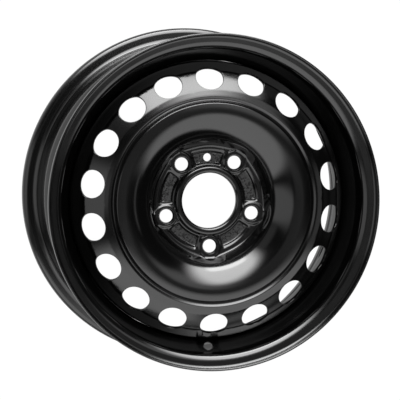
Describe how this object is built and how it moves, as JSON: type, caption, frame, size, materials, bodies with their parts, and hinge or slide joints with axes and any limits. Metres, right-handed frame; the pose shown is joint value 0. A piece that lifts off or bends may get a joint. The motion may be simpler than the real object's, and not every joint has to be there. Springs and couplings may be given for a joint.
{
  "type": "steel wheel rim",
  "caption": "Pressed steel car wheel: a rolled drop-centre rim with a valve hole, and a domed disc with a centre bore, coned bolt holes and a ring of round vent holes.",
  "frame": {"origin": "on the axle line, midway between the two flanges", "axes": "+Z along the axle line, out of the outboard face; the valve hole is towards -Y, and the wheel lies on its inboard flange"},
  "size_m": [0.4406, 0.4398, 0.204],
  "materials": {
    "rim_paint": "gloss black dip paint",
    "disc_paint": "satin black dip paint",
    "weld_paint": "satin black dip paint over weld beads"
  },
  "bodies": {
    "root": {"drop_center_rim": "rim_paint", "wheel_disc": "disc_paint", "weld_bead_1": "weld_paint", "weld_bead_2": "weld_paint", "weld_bead_3": "weld_paint", "weld_bead_4": "weld_paint", "weld_bead_5": "weld_paint", "weld_bead_6": "weld_paint", "weld_bead_7": "weld_paint", "weld_bead_8": "weld_paint"}
  },
  "joints": []
}
